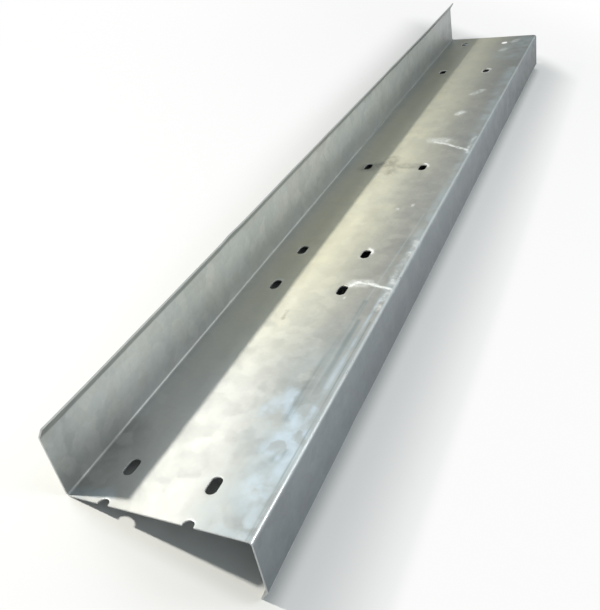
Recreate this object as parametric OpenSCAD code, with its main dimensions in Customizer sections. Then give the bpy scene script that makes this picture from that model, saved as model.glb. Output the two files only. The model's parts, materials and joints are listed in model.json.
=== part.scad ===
// Cold-rolled Z purlin with sloped lips, punched along the web with pairs of
// bolt slots. One flange is a little broader than the other, so that two purlins
// lap one inside the other. It lies unheld on a level floor, on the bend under its
// raised flange and on the tip of its lower lip. Y runs along the purlin, Z is up
// and the origin is on the floor under the middle of the purlin's box.

/* [Section] */
// Depth of the section, over the outer faces of the two flanges
web_w = 200; // [160:1:260]
// Width of the raised flange, from the outer face of the web to the corner of its lip
raised_w = 75; // [60:1:90]
// Width of the hanging flange, from the outer face of the web to the corner of its lip
hanging_w = 68; // [55:1:85]
// Width of each lip, from the corner of its flange to its free edge
lip_w = 15; // [12:0.5:26]
// Angle that each lip is turned in from its flange, in degrees
lip_angle = 35; // [25:1:60]
// Thickness of the galvanised sheet
sheet_t = 2; // [1.2:0.1:3.2]
// Inner radius of the bends
bend_r = 3; // [1.5:0.25:5]

/* [Length] */
// Length of the purlin
length = 1500; // [1200:10:3000]

/* [Bolt slots] */
// Width of a slot
slot_w = 12; // [9:0.5:18]
// Length of a slot, end to end along the purlin
slot_l = 22; // [20:0.5:36]
// Distance from the raised flange's outer face to the nearer line of slots
slot_edge = 43; // [33:1:53]
// Distance between the two lines of slots
slot_gauge = 93; // [60:1:100]
// Distance from each end of the purlin to its end pair of slots
end_gap = 48; // [40:1:80]
// Distance from the front end to the first lap pair
lap_gap = 380; // [200:5:420]
// Distance between the first and the second lap pair
lap_pitch = 90; // [60:1:120]
// Distance from the front end to the brace pair near the middle
brace_gap = 750; // [650:5:800]
// Distance from the back end to the last brace pair
back_gap = 255; // [180:5:280]
// Depth of the round notches that the front end cuts through
notch_depth = 7; // [5:0.5:14]

/* [Hidden] */
$fn = 96;
// Outer radius of the bends
outer_r = bend_r + sheet_t;
// Length that a lip's bend takes from each of the two outer faces it joins
lip_setback = outer_r * tan(lip_angle / 2);
// Flat widths that are left between the bends
web_flat = web_w - 2 * outer_r;
raised_flat = raised_w - outer_r - lip_setback;
hanging_flat = hanging_w - outer_r - lip_setback;
lip_flat = lip_w - lip_setback;
// A lip's flat lies this little inside the round faces of its bend, so that the
// two cross cleanly, and each then runs this far and this angle into the other
lip_seat = 0.002;
lip_overlap = sqrt(2 * lip_seat * (bend_r + sheet_t / 2));
lip_overlap_angle = atan(lip_overlap / (bend_r + sheet_t / 2));
// Lower bend of the raised flange, from the middle of the web
bend_x = -web_flat / 2;
bend_z = outer_r - sheet_t / 2;
// Bend between the hanging flange and its lip, from the middle of the web
lip_bend_x = web_flat / 2;
lip_bend_z = -bend_z - hanging_flat;
// The two corners of the hanging lip's free edge, from the middle of the web
lip_tip = [for (r = [bend_r - lip_seat, outer_r - lip_seat]) [
    lip_bend_x + r * cos(lip_angle) - lip_flat * sin(lip_angle),
    lip_bend_z - r * sin(lip_angle) - lip_flat * cos(lip_angle)
]];
// Slope of the line that touches the raised flange's bend from below and
// passes through a corner of the lip
function floor_slope(corner) =
    let (run = corner.x - bend_x, drop = bend_z - corner.y)
    atan2(drop, run) - asin(outer_r / norm([run, drop]));
// Tilt of the web as the purlin lies on the floor
tilt = max([for (corner = lip_tip) floor_slope(corner)]);
// Place of the middle of the web across the floor; the broader flange leans out
// further, and its lead over the narrow one is shared between the two sides
web_x = (raised_w - hanging_w) / 2 * sin(tilt);
// Height of the middle of the web over the floor
web_z = outer_r - bend_x * sin(tilt) - bend_z * cos(tilt);
// Straight part of a slot, between the middles of its two round ends
slot_straight = slot_l - slot_w;
// Depth of the slot cutters, well past both faces of the sheet
cut_h = 4 * sheet_t;
// Lines of slots across the web, from the middle of the web
slot_x = [for (i = [0, 1]) slot_edge + i * slot_gauge - web_w / 2];
// Pairs of slots along the purlin, from its front end
pair_y = [
    end_gap,
    lap_gap,
    lap_gap + lap_pitch,
    brace_gap,
    length - back_gap,
    length - end_gap
];

// A flat stretch of the section, with the next stretch at its end
module flat(run) {
    square([run, sheet_t]);
    translate([run, 0]) children();
}

// A bend that turns the section down by an angle, with the next stretch after
// it; the bend itself can run on into that stretch
module bend(angle, overlap_angle = 0) {
    reach = 2 * outer_r;
    translate([0, -bend_r]) {
        difference() {
            circle(outer_r);
            circle(bend_r);
            translate([-reach, -reach]) square([reach, 2 * reach]);
            rotate(-angle - overlap_angle)
                translate([0, -reach]) square([reach, 2 * reach]);
        }
        rotate(-angle) translate([0, bend_r]) children();
    }
}

// The flat of a lip, out to its free edge
module lip() {
    translate([-lip_overlap, -lip_seat]) square([lip_flat + lip_overlap, sheet_t]);
}

// Half of the section: half the web, one flange and its lip
module half_section(flange_flat) {
    translate([0, -sheet_t / 2])
        flat(web_flat / 2)
        bend(90)
        flat(flange_flat)
        bend(lip_angle, lip_overlap_angle)
        lip();
}

// The Z section, with the hanging flange and, turned half round, the raised one
module section() {
    half_section(hanging_flat);
    rotate(180) half_section(raised_flat);
}

// Cutter for one slot, with round ends
module slot() {
    for (end = [-1, 1])
        translate([0, end * slot_straight / 2, 0])
            cylinder(d = slot_w, h = cut_h, center = true);
    cube([slot_w, slot_straight, cut_h], center = true);
}

// Cutter for a notch, round inside and open at the front end
module notch() {
    straight = notch_depth - slot_w / 2;
    translate([0, straight, 0]) cylinder(d = slot_w, h = cut_h, center = true);
    translate([-slot_w / 2, -slot_w, -cut_h / 2])
        cube([slot_w, slot_w + straight, cut_h]);
}

// Every cut in the web, placed along the two lines of slots
module web_cuts() {
    for (x = slot_x) {
        for (y = pair_y) translate([x, y - length / 2, 0]) slot();
        translate([x, -length / 2, 0]) notch();
    }
}

// The purlin, formed from one sheet
module z_purlin() {
    color([0.72, 0.73, 0.71])
        translate([web_x, 0, web_z])
        rotate([0, -tilt, 0])
        difference() {
            rotate([90, 0, 0]) linear_extrude(length, center = true) section();
            web_cuts();
        }
}

z_purlin();
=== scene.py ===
"""Galvanised Z purlin: the formed and slotted sheet with its weathered zinc finish, on a plain stage."""
import json
import math
from collections import namedtuple
from functools import partial, reduce

import bpy
from bpy.props import FloatProperty, FloatVectorProperty, PointerProperty
from mathutils import Matrix, Vector, noise


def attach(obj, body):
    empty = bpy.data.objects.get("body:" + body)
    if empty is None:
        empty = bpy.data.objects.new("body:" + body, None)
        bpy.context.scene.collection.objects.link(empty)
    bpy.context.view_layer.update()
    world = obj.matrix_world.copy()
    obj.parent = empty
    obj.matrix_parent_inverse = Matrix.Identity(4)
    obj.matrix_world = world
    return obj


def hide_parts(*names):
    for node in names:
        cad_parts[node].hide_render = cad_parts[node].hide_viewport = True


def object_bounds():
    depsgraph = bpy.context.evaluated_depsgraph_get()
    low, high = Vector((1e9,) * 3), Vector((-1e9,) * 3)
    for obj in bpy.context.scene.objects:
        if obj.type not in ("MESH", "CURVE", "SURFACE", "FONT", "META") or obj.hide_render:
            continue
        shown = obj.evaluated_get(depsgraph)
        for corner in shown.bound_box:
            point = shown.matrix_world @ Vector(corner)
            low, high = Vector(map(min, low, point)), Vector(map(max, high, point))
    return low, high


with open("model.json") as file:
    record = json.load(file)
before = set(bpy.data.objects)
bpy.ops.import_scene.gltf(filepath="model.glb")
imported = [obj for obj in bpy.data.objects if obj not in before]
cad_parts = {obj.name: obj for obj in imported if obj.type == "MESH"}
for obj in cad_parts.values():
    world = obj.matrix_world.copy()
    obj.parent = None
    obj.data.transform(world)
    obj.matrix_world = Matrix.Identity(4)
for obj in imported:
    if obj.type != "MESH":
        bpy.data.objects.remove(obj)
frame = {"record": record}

bl_info = {
    "name": "Galvanised Z purlin",
    "version": (1, 0, 0),
    "blender": (4, 5, 0),
    "location": "3D View > Sidebar > Purlin",
    "description": "Forms the slotted sheet of a Z purlin, gives it weathered zinc and sets a plain stage",
    "category": "Object",
}

CAD_BOX = [list(corner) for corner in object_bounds()]
MOUNTS = {mount["name"]: mount for mount in frame["record"]["mounts"]}
SLOTS = [mount for name, mount in MOUNTS.items() if "_slot_" in name]
SLOT_DIMS = SLOTS[0]["dims"]
MM = 0.001

# Fineness of the mesh: half size and cells of the patches round the slots, the steps between the patches,
# and the cells of flanges, lips and bends
PATCH_HALF_W = 0.012
PATCH_HALF_L = 0.017
PATCH_CELLS_W = 8
PATCH_CELLS_L = 12
STEP_ACROSS = 0.0075
STEP_ALONG = 0.009
FLANGE_CELLS = 9
LIP_CELLS = 3
BEND_CELLS = 10
LIP_BEND_CELLS = 6
# A step shorter than this is left out, and slots in line to this many digits of a metre are one row
LEAST_STEP = 1e-6
PLACE_DIGITS = 5
# Creases sharper than this show as edges
SHARP_ANGLE = math.radians(28.0)

# Sheared edges: chamfers on the upper and lower side of the sheet
SHEAR_UPPER = 0.00025
SHEAR_LOWER = 0.00015
# Punched edges: how far the faces stay back from the cut, then the distance from there, the drop of the
# upper face and the burr of the lower one, and the chamfers
PUNCH_INSET = 0.0003
PUNCH_ROLL = ((0.0, 0.00014, 0.00008), (0.0006, 0.00005, 0.00002), (0.0018, 0.0, 0.0))
PUNCH_UPPER = 0.0004
PUNCH_LOWER = 0.0001
# A notch is punched from well outside the front end
NOTCH_START = -1.0

# Rolling waves: waves to the metre across and along, the layer of noise they come from, and their share
WAVES = ((9.0, 4.2, 1.7, 1.0), (21.0, 11.0, 6.1, 0.5))
# Share of them that the hanging flange has
HANGING_WAVE = 0.5
# The bends hold the waves down: distance from a bend that has none, and that over which they rise
WAVE_CLEAR = 0.004
WAVE_RISE = 0.035
# Dents: distance across and along, depth and radius, in metres, and the square of their reach in radii
DENTS = (
    (-0.178, -0.395, 0.0010, 0.016),
    (-0.172, 0.262, 0.0008, 0.020),
    (0.150, -0.520, 0.0007, 0.022),
    (0.140, 0.330, 0.0006, 0.026),
    (0.062, 0.560, 0.0005, 0.030),
)
DENT_REACH = 9.0
# The flanges spring open at the ends: how far that reaches along, and how soon it sets in across
SPRING_REACH = 0.05
SPRING_RISE = 0.01
# They sway a little all along: share of the flare, waves to the metre along and across, layer of noise
SWAY_SHARE = 0.25
SWAY_ALONG = 2.3
SWAY_ACROSS = 0.5
SWAY_LAYER = 9.4

# In the sheet's own places, the underside lies this far off the upper side, and is told by these levels;
# the marks are kept on the upper side by drawing that out
UNDERSIDE = 0.5
UNDERSIDE_LEVELS = (0.1, 0.4)
UPPER_ONLY = (1.0, 1.0, 8.0)
# The rubbed outer side of a bend, also a painted highlight, is drawn to the bend's middle by this power
RUB_POWER = 3

# Textures of the zinc: scale, detail, roughness and distortion of each noise
CLOUDS = (7.0, 4.0, 0.55, 0.5)
PATCHES = (30.0, 4.0, 0.6, 0.8)
SOFT = (24.0, 4.0, 0.55, 0.4)
FINE = (240.0, 3.0, 0.6, 0.0)
STREAKS = (110.0, 3.0, 0.6, 0.0)
VEINS = (34.0, 3.0, 0.55, 0.0)
WARP = (60.0, 5.0, 0.68, 0.0)
BROKEN = (150.0, 4.0, 0.65, 0.0)
SMUDGE = (45.0, 5.0, 0.7, 0.0)
# Streaks and veins are drawn out along the purlin
DRAWN_OUT = (1.0, 0.03, 1.0)
# How far the warp moves the spangle, loose marks and smeared ones
SPANGLE_WARP = (0.016, 0.022, 0.0)
LOOSE_WARP = (0.010, 0.010, 0.0)
SMEARED_WARP = (0.013, 0.026, 0.0)
# Spangle: scale of its flowers, how far they run into each other, and scale of the grain between them
SPANGLE_SCALE = 62.0
SPANGLE_BLUR = 0.35
GRAIN_SCALE = 210.0

# Upper bend, between the places across where the web ends and the hanging flange begins; the dark zinc
# that the hanging flange takes from there on is painted shade
UPPER_BEND = (0.094, 0.104)
# Foot of the raised flange, between the places across where the tints of the web set in
WEB_FOOT = (-0.115, -0.060)
# The web goes dull towards the upper bend, partly wear and partly painted sheen: places across, how far
# clouds and veins move them, and the levels of the patches with the share of dull zinc at each
WORN_ACROSS = (-0.035, 0.085)
WORN_CLOUDS = 0.03
WORN_VEINS = 0.02
WORN_PATCHES = (0.25, 0.7, 1.0, 0.90)
# At the front end the bright zinc and its painted sheen reach further across: places along, and how much
# further
FRONT_SHEEN = (-0.72, -0.56)
FRONT_LEAD = 0.028
# The web yellows from the front end back: places along, and how far clouds move them
YELLOW_ALONG = (-0.62, -0.30)
YELLOW_CLOUDS = 0.3
# Bluish zinc: levels of the clouds with its share at each, how far the spangle's tint moves them, and
# how it recedes where the zinc is bright or yellow
COOL_CLOUDS = (0.36, 0.68, 0.18, 0.62)
COOL_TINT = 0.22
COOL_RECEDES = (0.0, 1.0, 1.0, 0.30)

# How far each texture moves the tone, and how much less of that bright zinc has
TONES = {"streaks": 0.08, "veins": 0.08, "patches": 0.08, "flower": 0.12, "grain": 0.05, "fine": 0.08}
BRIGHT_EVENS = (0.0, 1.0, 1.0, 0.5)
# Broad painted shade: two places on the sheet and the tone at each. Along, darker at the front and towards
# the back end
FRONT_SHADE_TONES = (-0.76, -0.61, 0.85, 1.0)
BACK_SHADE_TONES = (-0.10, 0.75, 1.0, 0.75)
# Across, painted shade on the raised lip and its bend, and down the hanging flange, darker towards its
# bottom
LIP_SHADE_TONES = (-0.1735, -0.1690, 0.68, 1.0)
HANGING_SHADE_TONES = (0.100, 0.165, 1.0, 0.78)
# Painted shade in the trough between web and raised flange, lifting away from its middle, which patches
# move a little
TROUGH_SHADE_TONES = (0.024, 0.075, 0.66, 1.0)
TROUGH_MIDDLE = -0.085
TROUGH_PATCHES = 0.02

# Damp zone with bluish bloom, at the front end beside the upper bend: places across and along between
# which it sets in, how far patches move them, and how it thins out on the bend
DAMP_ACROSS = (0.005, 0.090)
DAMP_ALONG = (-0.36, -0.64)
DAMP_ACROSS_PATCHES = 0.05
DAMP_ALONG_PATCHES = 0.15
DAMP_THINS = (*UPPER_BEND, 1.0, 0.25)
# Levels of the mottle with the bloom's share at each
DAMP_BLOOM = (0.20, 0.80, 0.30, 0.90)
# How far the spangle's tint moves the mottle, soft noise the dragged stains, and broken noise the crust
MOTTLE_TINT = 0.35
STAIN_SOFT = 0.5
CRUST_BROKEN = 0.8
# White rust round the slots: nearness to the cut, and levels of the soft noise with its share at each
HALO_NEAR = (0.3, 0.95)
HALO_RUST = (0.52, 0.66, 0.0, 0.6)
# Rubbed bends with a painted highlight: two places along with its share at each; and the share of steel at
# cut edges
RUB_ALONG = (-0.45, 0.30, 0.95, 0.50)
EDGE_SHARE = 0.6

# Gloss: how much of the metal shows and what a full cover takes from it, and how far bloom is a cover
METALLIC = 0.42
COVER_METALLIC = 0.36
BLOOM_COVER = 0.4
# Roughness at two levels of the patches, and what spangle, cover and rub add to it or take from it
ROUGHNESS = (0.3, 0.7, 0.42, 0.54)
FLOWER_ROUGHNESS = 0.08
COVER_ROUGHNESS = 0.25
RUB_ROUGHNESS = 0.20
# Fine relief of the zinc
BUMP_STRENGTH = 0.25
BUMP_DISTANCE = 0.0004
BUMP_SHARE = 0.5

# Marks that weather and work have left: the levels of a texture between which they break up, how strongly
# they cover the zinc, and their strokes. A stroke has two ends, each as the distance across from the
# middle of the web and along from the middle of the purlin, and its half width, all in millimetres
Marks = namedtuple("Marks", "low high strength strokes")
# Share of a stroke's half width that is covered fully
STROKE_CORE = 0.15
# White rust in the lee of some slots: its strokes from the slot's middle, and the middles of those slots
CRESCENT = (
    ((7.8, 2), (6.4, 11), 4.2),
    ((6.4, 11), (0.5, 15), 3.8),
)
CRESCENT_SLOTS = ((36, -280), (36, 0), (36, 495))
# Runs of white rust down the web, and the crescents at the slots
OXIDE_RUNS = Marks(0.18, 0.68, 0.90, (
    ((43, -358), (50, -350), 6.2),
    ((50, -350), (72, -352), 5),
    ((72, -352), (98, -361), 4.8),
    ((28, 105), (46, 100), 6.2),
    ((46, 100), (66, 87), 5.6),
    ((66, 87), (92, 71), 5),
    ((38, 239), (43, 249), 11),
) + tuple(
    ((a + x, b + y), (c + x, d + y), half_width)
    for x, y in CRESCENT_SLOTS for (a, b), (c, d), half_width in CRESCENT
))
# Soft spots of white rust, and the haze round the runs
OXIDE_SPOTS = Marks(0.15, 0.85, 0.75, (
    ((40, 346), (55, 370), 11),
    ((42, 636), (46, 648), 12),
    ((56, 702), (62, 716), 13),
    ((46, -388), (46, -385), 2.6),
    ((59, -136), (59, -132), 4),
    ((39, -149), (39, -146), 3),
    ((45, -354), (62, -350), 13),
    ((24, 112), (44, 112), 19),
))
# Crust of white rust beside the upper bend
BEND_RUST = Marks(0.30, 0.75, 0.55, (
    ((94, -345), (94, -294), 8),
    ((94, -294), (95, -235), 6),
    ((93, -402), (95, -368), 6),
    ((93, 60), (93, 130), 4.5),
))
# Pale bloom: patches in the damp zone, a painted pool of light at the front end of the trough, and a band
# beside the upper bend
BLOOM_CLOUDS = Marks(0.10, 0.90, 0.80, (
    ((70, -690), (80, -706), 15),
    ((68, -645), (77, -628), 18),
    ((85, -655), (87, -618), 15),
    ((42, -594), (56, -570), 16),
    ((56, -586), (78, -608), 14),
    # Painted light: this patch at the front end of the trough, where the raised flange's shadow ends
    ((-90, -748), (-60, -742), 14),
))
BLOOM_BAND = Marks(0.10, 0.85, 0.55, (
    ((88.5, -760), (86.5, -610), 9),
    ((86.5, -610), (88, -500), 4.4),
    ((88, -500), (90, -380), 3),
))
# Faint bloom along the upper bend and at the back end
BACK_BLOOM = Marks(0.10, 0.80, 0.60, (
    ((95, -380), (94, 140), 12),
    ((94, 140), (90, 500), 20),
    ((66, 600), (86, 750), 50),
))
# Thin light lines that the forming rolls left along the sheet
ROLLER_MARKS = Marks(0.20, 0.70, 0.42, (
    ((74, -575), (73, -420), 3),
    ((73, -420), (83, -160), 2.2),
    ((64, -596), (62, -470), 2.8),
    ((87, -156), (92, 60), 2),
))
# Dark lines: painted shade beside the upper bend and in the crease at the foot of the raised flange towards
# the back end, and stains that were dragged along the web
DARK_LINES = Marks(0.25, 0.70, 0.60, (
    # Painted shade: the next two strokes
    ((93.6, -760), (93.6, -430), 1.6),
    ((-98.5, 80), (-98.5, 760), 1.8),
    ((66, -604), (69, -500), 8.5),
    ((69, -500), (73, -390), 6),
    ((79, -560), (79, -430), 5.5),
    ((78, -658), (85, -648), 9),
))
# Painted highlight: a light line along the same crease, nearer to the front end
CREASE_HIGHLIGHT = Marks(0.05, 0.45, 0.50, (
    ((-98.5, -760), (-98.5, -150), 1.6),
    ((-98.5, -150), (-98.5, 80), 1),
))
# Thin grime between the middle pair of slots, and a speck nearer to the front end
GRIME = Marks(0.18, 0.68, 0.70, (
    ((-58, -6), (-30, 8), 22),
    ((-24, 34), (-12, -24), 17),
    ((-2, 4), (30, 4), 16),
    ((-13, -442), (-16, -426), 4),
))
# Painted shade: soft dark patches at the front end of the raised flange and of the trough beside it
FRONT_CORNER_SHADE = Marks(0.10, 0.80, 0.50, (
    ((-118, -765), (-175, -765), 75),
    ((-88, -765), (-88, -660), 34),
))

# Stage: level and colour of the light from above, the heights between which it rises to that, and
# those between which the white that metal reflects fades into it
WHITE = (1.0, 1.0, 1.0, 1.0)
FILL = 0.41
FILL_COLOUR = (0.855, 0.955, 0.98)
FILL_RISE = (-0.05, 0.45)
BACKDROP_FADE = (0.05, 0.16)
BACKDROP_STRENGTH = 1.0
# Floor: half of its side, its roughness, and the share of it that shows as plain white, in three steps
# from the purlin's box outwards, each with the two distances between which it rises: close by, the
# purlin's shadow still shows
FLOOR_REACH = 40.0
FLOOR_ROUGHNESS = 0.9
FLOOR_GLOW = (
    (0.00, 0.02, 0.36),
    (0.02, 0.13, 0.50),
    (0.06, 0.75, 0.14),
)
# Round lamps: name, place, the point each is aimed at, size, power in watts and colour
LAMPS = (
    ("key_lamp", (-1.23, -0.89, 0.81), (0.0, -0.50, 0.04), 0.08, 32.5, (1.0, 0.97, 0.895)),
    ("back_lamp", (1.20, 4.00, 2.30), (0.0, 0.0, 0.04), 1.0, 3.0, (0.92, 0.97, 1.0)),
    ("side_lamp", (1.20, 0.25, 1.35), (0.0, -0.30, 0.04), 0.8, 9.0, (0.95, 0.98, 1.0)),
)
# Camera: its place, the point it looks at, its roll, its lens and sensor in millimetres, its near limit
CAMERA_PLACE = (0.15739, -1.06925, 0.62547)
CAMERA_AIM = (0.00042, -0.42487, 0.05)
CAMERA_ROLL = math.radians(15.1353)
CAMERA_LENS = 43.78
CAMERA_SENSOR = 36.0
CAMERA_NEAR = 0.01

# Layout of the nodes in the editor: nodes in a row, and the steps across and down
NODES_IN_ROW = 12
NODE_STEP = (190.0, 260.0)


def length_prop(name, default, description):
    """A length that a user may change."""
    return FloatProperty(name=name, description=description, default=default, min=0.0, precision=4,
                         subtype="DISTANCE", unit="LENGTH")


def angle_prop(name, degrees, description):
    """An angle that a user may change."""
    return FloatProperty(name=name, description=description, default=math.radians(degrees),
                         subtype="ANGLE", unit="ROTATION")


def colour_prop(name, default, description):
    """A colour that a user may change."""
    return FloatVectorProperty(name=name, description=description, default=default, size=3, min=0.0,
                               max=1.0, subtype="COLOR")


class PurlinSizes(bpy.types.PropertyGroup):
    """Sizes of the formed sheet, as the solid has them."""

    web: length_prop("Web", 0.200, "Depth of the section over its two flanges")
    raised: length_prop("Raised flange", 0.075, "Width of the raised flange, out to its lip's corner")
    hanging: length_prop("Hanging flange", 0.068, "Width of the hanging flange, out to its lip's corner")
    lip: length_prop("Lip", 0.015, "Width of each lip")
    lip_angle: angle_prop("Lip angle", 35.0, "Angle that each lip is turned in from its flange")
    sheet: length_prop("Sheet", 0.002, "Thickness of the sheet")
    bend: length_prop("Bend", 0.003, "Inner radius of the bends")
    length: length_prop("Length", CAD_BOX[1][1] - CAD_BOX[0][1], "Length of the purlin")
    slot_width: length_prop("Slot width", 2 * SLOT_DIMS["hole_r_mm"] * MM, "Width of a bolt slot")
    slot_length: length_prop("Slot length", SLOT_DIMS["slot_length_mm"] * MM, "Length of a bolt slot")
    notch: length_prop("Notch", 0.007, "Depth of the notches in the front end")
    wave: length_prop("Wave", 0.0004, "Height of the waves that rolling leaves in the flat sheet")
    flare: angle_prop("Flare", 0.8, "Angle that the flanges spring open at the cut ends")


class PurlinFinish(bpy.types.PropertyGroup):
    """Colours of the finish and of the stage."""

    # Bright zinc is also the painted sheen on the web and the painted highlight in the crease
    bright: colour_prop("Bright zinc", (0.79, 0.785, 0.75), "Zinc where it is still bright")
    warm: colour_prop("Warm zinc", (0.83, 0.79, 0.615), "Zinc of the web that has yellowed a little")
    cool: colour_prop("Cool zinc", (0.66, 0.715, 0.72), "Zinc where it has gone bluish")
    dull: colour_prop("Dull zinc", (0.33, 0.334, 0.322), "Zinc where it has gone dull")
    # Painted shade: dark zinc stands in for the shade that the hanging flange lies in
    dark: colour_prop("Dark zinc", (0.285, 0.31, 0.325), "Zinc on the hanging flange, gone darkest")
    bloom: colour_prop("Bloom", (0.42, 0.49, 0.53), "Soft bluish bloom that damp has left")
    # Pale bloom is also painted as a pool of light at the front end of the trough
    pale: colour_prop("Pale bloom", (0.55, 0.655, 0.76), "Bloom where it is thick and pale")
    # White rust colour is also painted on the rubbed bends as a highlight
    oxide_and_highlight: colour_prop("White rust", (0.84, 0.86, 0.86), "White rust at the slots and on the runs")
    # Stain colour is also painted shade, in the lines beside the upper bend and in the back crease
    stain_and_shade: colour_prop("Stain", (0.18, 0.225, 0.235), "Dark lines and dragged stains on the web")
    # Grime colour is also the painted shade at the front end of the raised flange and the trough
    grime_and_shade: colour_prop("Grime", (0.17, 0.165, 0.145), "Thin dirt that water has left")
    cut: colour_prop("Cut edge", (0.66, 0.67, 0.67), "Steel at the sheared and punched edges")
    floor: colour_prop("Floor", (0.72, 0.72, 0.71), "Plain pale floor")


class Station:
    """A place on the section's middle line: x across the web, n off it, the heading there and the run s."""

    def __init__(self, x, n, heading, s, turn=0.0):
        self.x, self.n, self.heading, self.s, self.turn = x, n, heading, s, turn

    def moved(self, distance):
        """The place this far along the heading."""
        return Station(self.x + math.cos(self.heading) * distance,
                       self.n + math.sin(self.heading) * distance, self.heading, self.s + distance)

    def turned(self, radius, angle):
        """The place after a bend; a positive angle turns towards the upper side."""
        side = math.copysign(radius, angle)
        heading = self.heading + angle
        return Station(self.x - math.sin(self.heading) * side + math.sin(heading) * side,
                       self.n + math.cos(self.heading) * side - math.cos(heading) * side,
                       heading, self.s + radius * abs(angle))

    def lifted(self, lift):
        """The point this far off the middle line, towards the upper side."""
        return self.x - math.sin(self.heading) * lift, self.n + math.cos(self.heading) * lift


def web_station(x):
    """A place on the flat of the web."""
    return Station(x, 0.0, 0.0, x)


class Sheet:
    """Points and faces of the sheet, in the section's own frame."""

    def __init__(self):
        self.points = []
        self.headings = []
        self.across = []
        self.under = []
        self.edge = []
        self.halo = []
        self.rub_and_highlight = []
        self.faces = []

    def add(self, station, y, lift, edge=0.0, halo=0.0):
        """A point off the middle line, and what the finish needs to know of it."""
        x, n = station.lifted(lift)
        self.points.append((x, y, n))
        self.headings.append(station.heading)
        self.across.append(station.s)
        self.under.append(UNDERSIDE if lift < 0.0 else 0.0)
        self.edge.append(edge)
        self.halo.append(halo)
        self.rub_and_highlight.append(abs(station.turn) if station.turn * lift < 0.0 else 0.0)
        return len(self.points) - 1

    def skin(self, cell):
        """Pairs of upper and lower points as one face of the upper skin and, turned over, of the lower."""
        self.faces.append(tuple(upper for upper, _ in cell))
        self.faces.append(tuple(lower for _, lower in reversed(cell)))

    def rim(self, chain, thickness, upper, lower):
        """The cut edge along a closed chain of upper point, lower point, station and place along."""
        rings = []
        for a, b, station, y in chain:
            rings.append((a, self.add(station, y, thickness / 2 - upper, edge=1.0),
                          self.add(station, y, lower - thickness / 2, edge=1.0), b))
        for k, ring in enumerate(rings):
            ahead = rings[(k + 1) % len(rings)]
            for m in range(len(ring) - 1):
                self.faces.append((ahead[m], ring[m], ring[m + 1], ahead[m + 1]))


def half_flat(z):
    """Half of the web's flat width."""
    return z.web / 2 - z.bend - z.sheet


def flange_flat(z, width):
    """Flat width of a flange, between its bend and that of its lip."""
    outer = z.bend + z.sheet
    return width - outer - outer * math.tan(z.lip_angle / 2)


def section_path(z, web_lines):
    """Stations from the raised lip's free edge to the hanging lip's, and the index of the web's first."""
    middle = z.bend + z.sheet / 2
    lip_flat = z.lip - (z.bend + z.sheet) * math.tan(z.lip_angle / 2)
    quarter = math.pi / 2
    stops = [Station(0.0, 0.0, -quarter - z.lip_angle, 0.0)]

    def run(distance, cells):
        for _ in range(cells):
            stops.append(stops[-1].moved(distance / cells))

    def bend(angle, cells):
        for _ in range(cells):
            stops.append(stops[-1].turned(middle, angle / cells))
        for k in range(cells):
            stops[k - cells].turn = math.copysign(math.sin(math.pi * (k + 1) / cells) ** RUB_POWER, angle)

    run(lip_flat, LIP_CELLS)
    bend(z.lip_angle, LIP_BEND_CELLS)
    run(flange_flat(z, z.raised), FLANGE_CELLS)
    bend(quarter, BEND_CELLS)
    first = len(stops) - 1
    for low, high in zip(web_lines, web_lines[1:]):
        run(high - low, 1)
    bend(-quarter, BEND_CELLS)
    run(flange_flat(z, z.hanging), FLANGE_CELLS)
    bend(-z.lip_angle, LIP_BEND_CELLS)
    run(lip_flat, LIP_CELLS)
    start = stops[first]
    shift = web_lines[0] - start.x, -start.n, web_lines[0] - start.s
    return [Station(p.x + shift[0], p.n + shift[1], p.heading, p.s + shift[2], p.turn)
            for p in stops], first


def ruled(start, end, patches, step):
    """Grid lines from start to end, and the first and last line of each patch of low, high and cells."""
    lines, spans = [start], []

    def rule(stop, cells):
        base = lines[-1]
        lines.extend(base + (stop - base) * (k + 1) / cells for k in range(cells))

    for low, high, cells in patches:
        if low - lines[-1] > LEAST_STEP:
            rule(low, max(1, round((low - lines[-1]) / step)))
        first = len(lines) - 1
        rule(high, cells)
        spans.append((first, len(lines) - 1))
    rule(end, max(1, round((end - lines[-1]) / step)))
    return lines, spans


def web_axes(z):
    """Middle of the web, its direction across and its normal, as the purlin lies."""
    normal = Vector(SLOTS[0]["axis"]).normalized()
    across = Vector((normal.z, 0.0, -normal.x))
    face = MOUNTS["hanging_flange_face"]
    drop = z.bend + z.sheet / 2 + flange_flat(z, z.hanging) / 2
    middle = Vector(face["pos_m"]) - across * (z.web / 2) + normal * drop
    middle.y = 0.0
    return middle, across, normal


def capsule(dx, dy, low, high, radius):
    """The nearest point of a slot's outline, whose middle line runs from low to high."""
    seat = min(max(dy, low), high)
    reach = math.hypot(dx, dy - seat)
    return dx / reach * radius, seat + (dy - seat) / reach * radius


# Patch of the grid round a slot or, where y is None, a notch: its middle, and its first and last lines
Patch = namedtuple("Patch", "x y left right low high")


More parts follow.
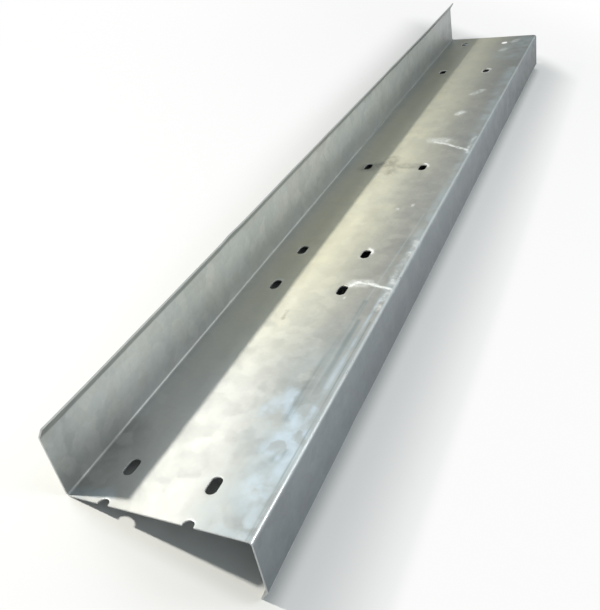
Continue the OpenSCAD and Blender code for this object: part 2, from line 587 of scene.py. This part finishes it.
class Former:
    """Forms the whole sheet: both skins, the punched slots and notches, and the cut edges."""

    def __init__(self, z):
        self.z = z
        self.half = z.sheet / 2
        self.radius = z.slot_width / 2
        self.front, self.back = -z.length / 2, z.length / 2
        self.sheet = Sheet()
        self.grid = {}
        self.notches = {}
        self.rule_lines()
        self.lay_skins()
        for patch in self.patches:
            if patch.y is None:
                self.punch_notch(patch)
            else:
                self.punch_slot(patch)
        self.trim()

    def rule_lines(self):
        """Stations across, rows along and the patches."""
        z = self.z
        middle, across, _ = web_axes(z)
        centres = [Vector(mount["pos_m"]) - middle for mount in SLOTS]
        slot_xs = sorted({round(centre.dot(across), PLACE_DIGITS) for centre in centres})
        slot_ys = sorted({round(centre.y, PLACE_DIGITS) for centre in centres})
        bands = [(x - PATCH_HALF_W, x + PATCH_HALF_W, PATCH_CELLS_W) for x in slot_xs]
        web_lines, columns = ruled(-half_flat(z), half_flat(z), bands, STEP_ACROSS)
        bands = [(self.front, self.front + PATCH_HALF_L, PATCH_CELLS_L // 2)]
        bands += [(y - PATCH_HALF_L, y + PATCH_HALF_L, PATCH_CELLS_L) for y in slot_ys]
        self.rows, spans = ruled(self.front, self.back, bands, STEP_ALONG)
        self.path, first = section_path(z, web_lines)
        self.patches = [Patch(x, y, first + left, first + right, low, high)
                        for x, (left, right) in zip(slot_xs, columns)
                        for y, (low, high) in zip([None, *slot_ys], spans)]

    def in_patch(self, i, j):
        """Whether a grid point lies inside a patch, or in the open side of a notch."""
        return any(p.left < i < p.right and j < p.high and (p.low < j or p.y is None) for p in self.patches)

    def lay_skins(self):
        """Upper and lower skin, set back at the sheared edges and left open at the patches."""
        stations = list(self.path)
        stations[0], stations[-1] = self.path[0].moved(SHEAR_UPPER), self.path[-1].moved(-SHEAR_UPPER)
        self.along = list(self.rows)
        self.along[0], self.along[-1] = self.front + SHEAR_UPPER, self.back - SHEAR_UPPER
        grid = self.grid
        for i, station in enumerate(stations):
            for j, y in enumerate(self.along):
                if not self.in_patch(i, j):
                    grid[i, j] = (self.sheet.add(station, y, self.half),
                                  self.sheet.add(station, y, -self.half))
        for i in range(len(self.path) - 1):
            for j in range(len(self.rows) - 1):
                if not any(p.left <= i < p.right and p.low <= j < p.high for p in self.patches):
                    self.sheet.skin([grid[i, j], grid[i + 1, j], grid[i + 1, j + 1], grid[i, j + 1]])

    def spoke(self, corner, x, y, low, high):
        """Points from the punched edge out to a grid point of the patch, and the place of the cut."""
        dx, dy = self.path[corner[0]].x - x, self.along[corner[1]] - y
        ox, oy = capsule(dx, dy, low, high, self.radius + PUNCH_INSET)
        reach = math.hypot(dx - ox, dy - oy)
        line = []
        for distance, drop, burr in PUNCH_ROLL:
            spot = web_station(x + ox + (dx - ox) * distance / reach)
            along = y + oy + (dy - oy) * distance / reach
            near = 1.0 - distance / reach
            line.append((self.sheet.add(spot, along, self.half - drop, halo=near),
                         self.sheet.add(spot, along, -self.half - burr, halo=near)))
        ex, ey = capsule(dx, dy, low, high, self.radius)
        return line + [self.grid[corner]], (web_station(x + ex), y + ey)

    def ring(self, spokes, closed):
        """Faces from each spoke to the next."""
        pairs = list(zip(spokes, spokes[1:]))
        if closed:
            pairs.append((spokes[-1], spokes[0]))
        for (here, _), (ahead, _) in pairs:
            for inner in range(len(here) - 1):
                outer = inner + 1
                self.sheet.skin([here[outer], ahead[outer], ahead[inner], here[inner]])

    def punch_slot(self, p):
        """A slot with the rolled faces round it and its cut edge."""
        border = [(i, p.low) for i in range(p.left, p.right)]
        border += [(p.right, j) for j in range(p.low, p.high)]
        border += [(i, p.high) for i in range(p.right, p.left, -1)]
        border += [(p.left, j) for j in range(p.high, p.low, -1)]
        straight = (self.z.slot_length - self.z.slot_width) / 2
        spokes = [self.spoke(corner, p.x, p.y, -straight, straight) for corner in border]
        self.ring(spokes, closed=True)
        chain = [(*line[0], *cut) for line, cut in reversed(spokes)]
        self.sheet.rim(chain, self.z.sheet, PUNCH_UPPER, PUNCH_LOWER)

    def punch_notch(self, p):
        """A notch with the rolled faces round it; its cut edge is left to the trim."""
        border = [(p.right, j) for j in range(p.low, p.high + 1)]
        border += [(i, p.high) for i in range(p.right - 1, p.left - 1, -1)]
        border += [(p.left, j) for j in range(p.high - 1, p.low - 1, -1)]
        depth = self.z.notch - self.radius
        spokes = [self.spoke(corner, p.x, self.front, NOTCH_START, depth) for corner in border]
        self.ring(spokes, closed=False)
        self.notches[p.left] = p.right, spokes

    def front_link(self, pair):
        """Link of the trim's chain at a pair of points on the front end."""
        return *pair, web_station(self.sheet.points[pair[0]][0]), self.front

    def notch_chain(self, spokes):
        """Links of the trim's chain in at a notch's left corner, round it and out at its right one."""
        rolled = range(1, len(PUNCH_ROLL))
        ends = 0, len(spokes) - 1
        links = [self.front_link(spokes[-1][0][k]) for k in reversed(rolled)]
        for k in reversed(range(len(spokes))):
            line, (station, y) = spokes[k]
            links.append((*line[0], station, self.front if k in ends else y))
        return links + [self.front_link(spokes[0][0][k]) for k in rolled]

    def trim(self):
        """The sheared edge all round the sheet."""
        grid, path, rows = self.grid, self.path, self.rows
        last, top = len(path) - 1, len(rows) - 1
        chain = []
        i = 0
        while i <= last:
            chain.append((*grid[i, 0], path[i], self.front))
            if i in self.notches:
                i, spokes = self.notches[i]
                chain += self.notch_chain(spokes)
            else:
                i += 1
        chain += [(*grid[last, j], path[last], rows[j]) for j in range(1, top + 1)]
        chain += [(*grid[i, top], path[i], self.back) for i in range(last - 1, -1, -1)]
        chain += [(*grid[0, j], path[0], rows[j]) for j in range(top - 1, 0, -1)]
        self.sheet.rim(chain, self.z.sheet, SHEAR_UPPER, SHEAR_LOWER)


def smooth(value):
    """Smooth step from 0 to 1."""
    value = min(max(value, 0.0), 1.0)
    return value * value * (3.0 - 2.0 * value)


def settle(sheet, z):
    """Gives the formed sheet its rolling waves, a few dents and the sprung ends."""
    flat = half_flat(z)
    pivot = z.bend + z.sheet / 2
    end = z.length / 2
    for k, (x, y, n) in enumerate(sheet.points):
        s, heading = sheet.across[k], sheet.headings[k]
        free = smooth((abs(abs(s) - flat - pivot * math.pi / 4) - WAVE_CLEAR) / WAVE_RISE)
        share = 1.0 if s < flat else HANGING_WAVE
        push = z.wave * share * free * sum(
            size * noise.noise(Vector((s * across, y * along, layer)))
            for across, along, layer, size in WAVES)
        for across, along, depth, radius in DENTS:
            gap = ((s - across) ** 2 + (y - along) ** 2) / radius ** 2
            if gap < DENT_REACH:
                push -= depth * math.exp(-gap)
        x -= math.sin(heading) * push
        n += math.cos(heading) * push
        if abs(s) > flat:
            ends = math.exp((-end - y) / SPRING_REACH) + math.exp((y - end) / SPRING_REACH)
            sway = SWAY_SHARE * noise.noise(Vector((y * SWAY_ALONG, s * SWAY_ACROSS, SWAY_LAYER)))
            angle = z.flare * (ends + sway) * smooth((abs(s) - flat) / SPRING_RISE)
            side = math.copysign(1.0, s)
            dx, dn = x - side * flat, n + side * pivot
            x = side * flat + dx * math.cos(angle) - dn * math.sin(angle)
            n = -side * pivot + dx * math.sin(angle) + dn * math.cos(angle)
        sheet.points[k] = x, y, n


class Graph:
    """Adds nodes to a tree and links them."""

    def __init__(self, tree):
        self.tree = tree

    def add(self, kind, inputs=None, **settings):
        """A node with its settings, its sockets set or linked."""
        node = self.tree.nodes.new(kind)
        row, column = divmod(len(self.tree.nodes), NODES_IN_ROW)
        node.location = (column * NODE_STEP[0], -row * NODE_STEP[1])
        for name, value in settings.items():
            setattr(node, name, value)
        for name, value in (inputs or {}).items():
            if isinstance(value, bpy.types.NodeSocket):
                self.tree.links.new(value, node.inputs[name])
            else:
                node.inputs[name].default_value = value
        return node

    def math(self, operation, a, b=0.0, clamp=False):
        """Sum of two values, or another operation on them."""
        return self.add("ShaderNodeMath", {0: a, 1: b}, operation=operation, use_clamp=clamp).outputs[0]

    def vector(self, operation, a, b=(0.0, 0.0, 0.0), output="Vector"):
        """Operation on two vectors."""
        return self.add("ShaderNodeVectorMath", {0: a, 1: b}, operation=operation).outputs[output]

    def noise(self, vector, scale, detail, roughness, distortion, output="Fac"):
        """Cloudy noise from 0 to 1."""
        inputs = {"Vector": vector, "Scale": scale, "Detail": detail, "Roughness": roughness,
                  "Distortion": distortion}
        return self.add("ShaderNodeTexNoise", inputs).outputs[output]

    def span(self, value, low, high, start=0.0, end=1.0):
        """The value eased from one range to another."""
        inputs = {"Value": value, "From Min": low, "From Max": high, "To Min": start, "To Max": end}
        return self.add("ShaderNodeMapRange", inputs, interpolation_type="SMOOTHSTEP").outputs["Result"]

    def eased(self, value, guide, levels):
        """A value times a share: two levels of a guide, and the share at each."""
        return self.math("MULTIPLY", value, self.span(guide, *levels))

    def swing(self, texture, size):
        """A texture from 0 to 1 as a small gain or loss."""
        return self.math("MULTIPLY", self.math("SUBTRACT", texture, 0.5), size)

    def varied(self, value, texture, size):
        """A value with the small gain or loss of a texture."""
        return self.math("ADD", value, self.swing(texture, size))

    def blend(self, factor, a, b, blend_type="MIX"):
        """Two colours mixed by a factor."""
        return self.add("ShaderNodeMix", {0: factor, 6: a, 7: b}, data_type="RGBA",
                        blend_type=blend_type).outputs[2]

    def most(self, values):
        """The largest of several values."""
        return reduce(partial(self.math, "MAXIMUM"), values)

    def total(self, values):
        """The sum of several values."""
        return reduce(partial(self.math, "ADD"), values)


def stroke_group():
    """Group that gives 1 on the line between two points of the sheet and fades to 0 at its half width."""
    tree = bpy.data.node_groups.new("Stroke", "ShaderNodeTree")
    for name, kind in (("Place", "NodeSocketVector"), ("Start", "NodeSocketVector"),
                       ("End", "NodeSocketVector"), ("Half width", "NodeSocketFloat")):
        tree.interface.new_socket(name=name, in_out="INPUT", socket_type=kind)
    tree.interface.new_socket(name="Mask", in_out="OUTPUT", socket_type="NodeSocketFloat")
    g = Graph(tree)
    source = g.add("NodeGroupInput")
    reach = g.vector("SUBTRACT", source.outputs["Place"], source.outputs["Start"])
    line = g.vector("SUBTRACT", source.outputs["End"], source.outputs["Start"])
    along = g.vector("DOT_PRODUCT", reach, line, output="Value")
    whole = g.vector("DOT_PRODUCT", line, line, output="Value")
    part = g.math("DIVIDE", along, whole, clamp=True)
    foot = g.add("ShaderNodeVectorMath", {0: line, "Scale": part}, operation="SCALE").outputs["Vector"]
    gap = g.vector("LENGTH", g.vector("SUBTRACT", reach, foot), output="Value")
    ratio = g.math("DIVIDE", gap, source.outputs["Half width"])
    g.add("NodeGroupOutput", {"Mask": g.span(ratio, STROKE_CORE, 1.0, 1.0, 0.0)})
    return tree


class WeatheredZincWithPaintedLight:
    """Hot-dip zinc, bright to dull, with spangle, rolling streaks, bloom, white rust and soiling, and
    painted light and shade.
    """

    def __init__(self, finish):
        self.paint = {name: (*getattr(finish, name), 1.0) for name in PurlinFinish.__annotations__}
        self.material = bpy.data.materials.new("weathered_zinc_with_painted_light")
        self.material.use_nodes = True
        self.g = Graph(self.material.node_tree)
        self.shader = self.material.node_tree.nodes["Principled BSDF"]
        self.stroke = stroke_group()
        self.lay_textures()
        self.weather(self.toned(self.zinc_colour()))
        self.polish()

    def attribute(self, name, output="Fac"):
        """What the mesh knows of each point."""
        return self.g.add("ShaderNodeAttribute", attribute_name=name).outputs[output]

    def link(self, value, name):
        """Links a value to the shader's socket of this name."""
        self.material.node_tree.links.new(value, self.shader.inputs[name])

    def warped(self, place, reach):
        """Places moved about by the warp."""
        return self.g.vector("ADD", place, self.g.vector("MULTIPLY", self.sway, reach))

    def lay_textures(self):
        """Places on the sheet, and the textures that all else is made from."""
        g = self.g
        self.place = self.attribute("sheet", "Vector")
        axes = g.add("ShaderNodeSeparateXYZ", {0: self.place})
        self.across, self.along = axes.outputs[0], axes.outputs[1]
        self.under = g.span(axes.outputs[2], *UNDERSIDE_LEVELS)
        self.clouds = g.noise(self.place, *CLOUDS)
        self.patches = g.noise(self.place, *PATCHES)
        self.soft = g.noise(self.place, *SOFT)
        self.fine = g.noise(self.place, *FINE)
        drawn = g.vector("MULTIPLY", self.place, DRAWN_OUT)
        self.streaks = g.noise(drawn, *STREAKS)
        self.veins = g.noise(drawn, *VEINS)
        self.sway = g.vector("SUBTRACT", g.noise(self.place, *WARP, output="Color"), (0.5, 0.5, 0.5))
        ragged = self.warped(self.place, SPANGLE_WARP)
        inputs = {"Vector": ragged, "Scale": SPANGLE_SCALE, "Smoothness": SPANGLE_BLUR}
        spangle = g.add("ShaderNodeTexVoronoi", inputs, voronoi_dimensions="2D", feature="SMOOTH_F1")
        cells = g.add("ShaderNodeSeparateColor", {0: spangle.outputs["Color"]})
        self.flower, self.tint = cells.outputs[0], cells.outputs[1]
        crystals = g.add("ShaderNodeTexVoronoi", {"Vector": self.place, "Scale": GRAIN_SCALE})
        self.grain = g.add("ShaderNodeSeparateColor", {0: crystals.outputs["Color"]}).outputs[0]

    def zinc_colour(self):
        """Colour of the zinc, from bright over yellow and bluish to dull and dark; the bright side carries
        a painted sheen on the web, and the dark zinc of the hanging flange is painted shade.
        """
        g, paint = self.g, self.paint
        # Painted sheen: the bright zinc beside the raised flange's shadow stands in for the glare of light
        # on the web
        inward = g.math("ADD", self.across, g.span(self.along, *FRONT_SHEEN, -FRONT_LEAD, 0.0))
        uneven = g.math("ADD", g.swing(self.clouds, WORN_CLOUDS), g.swing(self.veins, WORN_VEINS))
        wear_and_sheen = g.span(g.math("ADD", inward, uneven), *WORN_ACROSS)
        self.bright_and_sheen = g.math("MULTIPLY", g.span(self.across, *WEB_FOOT), g.math("SUBTRACT", 1.0, wear_and_sheen))
        yellowed = g.span(g.varied(self.along, self.clouds, YELLOW_CLOUDS), *YELLOW_ALONG)
        yellowed = g.eased(yellowed, self.across, WEB_FOOT)
        cool = g.span(g.varied(self.clouds, self.tint, COOL_TINT), *COOL_CLOUDS)
        cool = g.eased(cool, g.math("MAXIMUM", yellowed, self.bright_and_sheen), COOL_RECEDES)
        colour = g.blend(yellowed, paint["bright"], paint["warm"])
        colour = g.blend(cool, colour, paint["cool"])
        colour = g.blend(g.eased(wear_and_sheen, self.patches, WORN_PATCHES), colour, paint["dull"])
        # Painted shade: the hanging flange takes the dark zinc
        colour = g.blend(g.span(self.across, *UPPER_BEND), colour, paint["dark"])
        return g.blend(self.under, colour, paint["dull"])

    def toned(self, colour):
        """The colour made lighter and darker by the textures, and darker by painted shade at the ends, in
        the trough, on the lip and down the hanging flange.
        """
        g = self.g
        tone = g.total(g.swing(getattr(self, name), size) for name, size in TONES.items())
        tone = g.math("ADD", g.eased(tone, self.bright_and_sheen, BRIGHT_EVENS), 1.0)
        # Painted shade: darker at the front end, against the key lamp's light there, and towards the back
        # end
        tone = g.eased(tone, self.along, FRONT_SHADE_TONES)
        tone = g.eased(tone, self.along, BACK_SHADE_TONES)
        # Painted shade: darkest at the middle of the trough, lifting away from it
        trough = g.math("SUBTRACT", g.varied(self.across, self.patches, TROUGH_PATCHES), TROUGH_MIDDLE)
        tone = g.eased(tone, g.math("ABSOLUTE", trough), TROUGH_SHADE_TONES)
        # Painted shade on the raised lip and its bend
        tone = g.eased(tone, self.across, LIP_SHADE_TONES)
        # Painted shade: the hanging flange darker towards its bottom
        tone = g.eased(tone, self.across, HANGING_SHADE_TONES)
        shade = g.add("ShaderNodeCombineColor", {0: tone, 1: tone, 2: tone}).outputs[0]
        return g.blend(1.0, colour, shade, "MULTIPLY")

    def stroked(self, place, start, end, half_width):
        """Mask of one stroke."""
        inputs = {"Place": place, "Start": (start[0] * MM, start[1] * MM, 0.0),
                  "End": (end[0] * MM, end[1] * MM, 0.0), "Half width": half_width * MM}
        return self.g.add("ShaderNodeGroup", inputs, node_tree=self.stroke).outputs["Mask"]

    def marked(self, marks, place, texture):
        """Mask of some marks, broken up by a texture."""
        mask = self.g.most(self.stroked(place, *stroke) for stroke in marks.strokes)
        return self.g.eased(mask, texture, (marks.low, marks.high, 0.0, marks.strength))

    def damp(self):
        """Mask of the damp zone."""
        g = self.g
        across = g.span(g.varied(self.across, self.patches, DAMP_ACROSS_PATCHES), *DAMP_ACROSS)
        damp = g.eased(across, g.varied(self.along, self.patches, DAMP_ALONG_PATCHES), DAMP_ALONG)
        return g.eased(damp, self.across, DAMP_THINS)

    def weather(self, colour):
        """Lays bloom, stains, soiling, white rust and steel at the cut edges over the colour, with painted
        shade beside the upper bend, in the back crease and at the front end, and painted light in the
        crease, on the rubbed bends and at the trough's front end.
        """
        g = self.g
        upper = g.vector("MULTIPLY", self.place, UPPER_ONLY)
        loose = self.warped(upper, LOOSE_WARP)
        smeared = self.warped(upper, SMEARED_WARP)
        broken = g.noise(self.place, *BROKEN)
        mottle = g.varied(self.soft, self.tint, MOTTLE_TINT)
        bloom = g.most([g.eased(self.damp(), mottle, DAMP_BLOOM),
                        self.marked(BACK_BLOOM, smeared, mottle),
                        self.marked(ROLLER_MARKS, upper, self.veins)])
        # Pale bloom, and a painted pool of light at the front end of the trough
        pale = g.most([self.marked(BLOOM_CLOUDS, smeared, mottle), self.marked(BLOOM_BAND, upper, mottle)])
        # Dragged stains, and painted shade lines beside the upper bend and in the back crease
        stain_and_shade = self.marked(DARK_LINES, upper, g.varied(self.streaks, self.soft, STAIN_SOFT))
        # Painted highlight: a light line in the crease, in bright zinc
        crease = self.marked(CREASE_HIGHLIGHT, upper, self.veins)
        crusty = g.varied(self.soft, broken, CRUST_BROKEN)
        rust = g.most([self.marked(OXIDE_RUNS, loose, broken),
                       self.marked(OXIDE_SPOTS, loose, broken),
                       self.marked(BEND_RUST, smeared, crusty),
                       g.eased(g.span(self.attribute("halo"), *HALO_NEAR), self.soft, HALO_RUST)])
        # Grime, and painted shade at the front end of the raised flange and the trough
        dirt_and_shade = g.most([self.marked(GRIME, loose, g.noise(self.place, *SMUDGE)),
                       self.marked(FRONT_CORNER_SHADE, smeared, mottle)])
        # Painted highlight: the rubbed bends take the white rust colour, fading towards the back end
        rub_and_highlight = g.eased(self.attribute("rub_and_highlight"), self.along, RUB_ALONG)
        edge = g.math("MULTIPLY", self.attribute("edge"), EDGE_SHARE)
        for mask, name in ((bloom, "bloom"), (pale, "pale"), (stain_and_shade, "stain_and_shade"), (crease, "bright"),
                           (dirt_and_shade, "grime_and_shade"), (rub_and_highlight, "oxide_and_highlight"), (rust, "oxide_and_highlight"), (edge, "cut")):
            colour = g.blend(mask, colour, self.paint[name])
        self.link(colour, "Base Color")
        crust = g.math("MAXIMUM", rust, dirt_and_shade)
        self.cover = g.math("MAXIMUM", crust, g.math("MULTIPLY", bloom, BLOOM_COVER))
        self.rub_and_highlight = rub_and_highlight

    def polish(self):
        """Gloss of the zinc, which cover takes away and the rubbed bends bring back, and its fine relief.
        """
        g = self.g
        loss = g.math("MULTIPLY", self.cover, COVER_METALLIC)
        self.link(g.math("SUBTRACT", METALLIC, loss, clamp=True), "Metallic")
        rough = g.varied(g.span(self.patches, *ROUGHNESS), self.flower, FLOWER_ROUGHNESS)
        rough = g.math("ADD", rough, g.math("MULTIPLY", self.cover, COVER_ROUGHNESS))
        gloss = g.math("MULTIPLY", self.rub_and_highlight, RUB_ROUGHNESS)
        self.link(g.math("SUBTRACT", rough, gloss, clamp=True), "Roughness")
        fine = g.math("MULTIPLY", self.fine, BUMP_SHARE)
        height = g.math("ADD", fine, g.math("MULTIPLY", self.streaks, BUMP_SHARE))
        inputs = {"Strength": BUMP_STRENGTH, "Distance": BUMP_DISTANCE, "Height": height}
        self.link(g.add("ShaderNodeBump", inputs).outputs["Normal"], "Normal")


class PURLIN_OT_form_sheet(bpy.types.Operator):
    """Forms the purlin's sheet with its slots, notches and cut edges, and gives it weathered zinc with
    painted light and shade
    """

    bl_idname = "purlin.form_sheet"
    bl_label = "Form the sheet"

    def execute(self, context):
        z, finish = context.scene.purlin_sizes, context.scene.purlin_finish
        sheet = Former(z).sheet
        settle(sheet, z)
        middle, across, normal = web_axes(z)
        points, places = [], []
        for (x, y, n), s, under in zip(sheet.points, sheet.across, sheet.under):
            spot = middle + across * x + normal * n + Vector((0.0, y, 0.0))
            points.append((spot.x, spot.y, max(spot.z, 0.0)))
            places.extend((s, y, under))
        mesh = bpy.data.meshes.new("purlin_sheet")
        mesh.from_pydata(points, [], sheet.faces)
        if mesh.validate(verbose=False):
            raise RuntimeError("The sheet's faces don't make a sound mesh")
        mesh.shade_smooth()
        mesh.set_sharp_from_angle(angle=SHARP_ANGLE)
        mesh.attributes.new("sheet", "FLOAT_VECTOR", "POINT").data.foreach_set("vector", places)
        for name, values in (("edge", sheet.edge), ("halo", sheet.halo), ("rub_and_highlight", sheet.rub_and_highlight)):
            mesh.attributes.new(name, "FLOAT", "POINT").data.foreach_set("value", values)
        mesh.materials.append(WeatheredZincWithPaintedLight(finish).material)
        piece = bpy.data.objects.new("purlin_sheet", mesh)
        context.scene.collection.objects.link(piece)
        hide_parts("z_purlin")
        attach(piece, "root")
        return {"FINISHED"}


def aim(location, target):
    """Matrix that puts a lamp or the camera at a place and points it at another."""
    location, target = Vector(location), Vector(target)
    turn = (target - location).to_track_quat("-Z", "Y").to_matrix().to_4x4()
    return Matrix.Translation(location) @ turn


def seen(g):
    """Mask of the rays that show a backdrop: those of the camera, and those off metal or through glass."""
    path = g.add("ShaderNodeLightPath").outputs
    return g.most(path[name] for name in ("Is Camera Ray", "Is Glossy Ray", "Is Transmission Ray"))


class PURLIN_OT_set_stage(bpy.types.Operator):
    """Sets the floor, the lamps, the pale surroundings and the camera"""

    bl_idname = "purlin.set_stage"
    bl_label = "Set the stage"

    def floor_material(self, finish):
        """Pale floor that shows as plain white away from the purlin."""
        material = bpy.data.materials.new("pale_floor")
        material.use_nodes = True
        g = Graph(material.node_tree)
        shader = material.node_tree.nodes["Principled BSDF"]
        shader.inputs["Base Color"].default_value = (*finish.floor, 1.0)
        shader.inputs["Roughness"].default_value = FLOOR_ROUGHNESS
        glow = g.add("ShaderNodeEmission", {"Color": WHITE, "Strength": BACKDROP_STRENGTH})
        ground = g.add("ShaderNodeNewGeometry").outputs["Position"]
        outside = g.vector("SUBTRACT", g.vector("ABSOLUTE", ground), tuple(CAD_BOX[1]))
        away = g.vector("LENGTH", g.vector("MAXIMUM", outside), output="Value")
        share = g.total(g.span(away, near, far, 0.0, step) for near, far, step in FLOOR_GLOW)
        mix = g.add("ShaderNodeMixShader", {0: g.math("MULTIPLY", seen(g), share),
                                            1: shader.outputs[0], 2: glow.outputs[0]})
        output = material.node_tree.nodes["Material Output"]
        material.node_tree.links.new(mix.outputs[0], output.inputs["Surface"])
        return material

    def add_floor(self, scene, finish):
        """A wide pale floor at the purlin's foot."""
        corners = [(x * FLOOR_REACH, y * FLOOR_REACH, 0.0) for x, y in ((-1, -1), (1, -1), (1, 1), (-1, 1))]
        mesh = bpy.data.meshes.new("floor")
        mesh.from_pydata(corners, [], [tuple(range(len(corners)))])
        mesh.materials.append(self.floor_material(finish))
        floor = bpy.data.objects.new("floor", mesh)
        scene.collection.objects.link(floor)

    def add_lamp(self, scene, name, location, target, size, power, colour):
        """A round area lamp."""
        lamp = bpy.data.lights.new(name, "AREA")
        lamp.shape = "DISK"
        lamp.size = size
        lamp.energy = power
        lamp.color = colour
        rig = bpy.data.objects.new(name, lamp)
        rig.matrix_world = aim(location, target)
        scene.collection.objects.link(rig)

    def add_surroundings(self, scene):
        """Soft light from above and a white backdrop, which metal shows near the horizon."""
        world = bpy.data.worlds.new("surroundings")
        scene.world = world
        world.use_nodes = True
        g = Graph(world.node_tree)
        world.node_tree.nodes.clear()
        ray = g.add("ShaderNodeTexCoord").outputs["Generated"]
        height = g.add("ShaderNodeSeparateXYZ", {0: ray}).outputs[2]
        sight = g.add("ShaderNodeLightPath").outputs["Is Camera Ray"]
        rise = g.math("MULTIPLY", g.span(height, *BACKDROP_FADE), g.math("SUBTRACT", 1.0, sight))
        tone = g.blend(rise, WHITE, (*[FILL * c for c in FILL_COLOUR], 1.0))
        soft = g.span(height, *FILL_RISE, 0.0, FILL)
        fill = g.add("ShaderNodeBackground", {"Color": (*FILL_COLOUR, 1.0), "Strength": soft})
        backdrop = g.add("ShaderNodeBackground", {"Color": tone, "Strength": BACKDROP_STRENGTH})
        mix = g.add("ShaderNodeMixShader", {0: seen(g), 1: fill.outputs[0], 2: backdrop.outputs[0]})
        g.add("ShaderNodeOutputWorld", {"Surface": mix.outputs[0]})

    def add_camera(self, scene):
        """The camera, above the front end and to the right of it."""
        lens = bpy.data.cameras.new("camera")
        lens.sensor_fit = "HORIZONTAL"
        lens.sensor_width = CAMERA_SENSOR
        lens.lens = CAMERA_LENS
        lens.clip_start = CAMERA_NEAR
        camera = bpy.data.objects.new("camera", lens)
        camera.matrix_world = aim(CAMERA_PLACE, CAMERA_AIM) @ Matrix.Rotation(CAMERA_ROLL, 4, "Z")
        scene.collection.objects.link(camera)
        scene.camera = camera

    def execute(self, context):
        scene = context.scene
        self.add_floor(scene, scene.purlin_finish)
        for lamp in LAMPS:
            self.add_lamp(scene, *lamp)
        self.add_surroundings(scene)
        self.add_camera(scene)
        scene.view_settings.view_transform = "Standard"
        return {"FINISHED"}


class PURLIN_PT_panel(bpy.types.Panel):
    """Sizes, colours and steps of the purlin"""

    bl_idname = "PURLIN_PT_panel"
    bl_label = "Z purlin"
    bl_space_type = "VIEW_3D"
    bl_region_type = "UI"
    bl_category = "Purlin"

    def draw(self, context):
        for group in (context.scene.purlin_sizes, context.scene.purlin_finish):
            column = self.layout.column(align=True)
            for name in group.__annotations__:
                column.prop(group, name)
        self.layout.operator(PURLIN_OT_form_sheet.bl_idname)
        self.layout.operator(PURLIN_OT_set_stage.bl_idname)


CLASSES = (PurlinSizes, PurlinFinish, PURLIN_OT_form_sheet, PURLIN_OT_set_stage, PURLIN_PT_panel)


def register():
    """Registers the classes and gives the scene its sizes and colours."""
    for cls in CLASSES:
        bpy.utils.register_class(cls)
    bpy.types.Scene.purlin_sizes = PointerProperty(type=PurlinSizes)
    bpy.types.Scene.purlin_finish = PointerProperty(type=PurlinFinish)


def unregister():
    """Takes the sizes, the colours and the classes away again."""
    del bpy.types.Scene.purlin_finish
    del bpy.types.Scene.purlin_sizes
    for cls in reversed(CLASSES):
        bpy.utils.unregister_class(cls)


def main():
    """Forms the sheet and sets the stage."""
    register()
    bpy.ops.purlin.form_sheet()
    bpy.ops.purlin.set_stage()


if __name__ == "__main__":
    main()
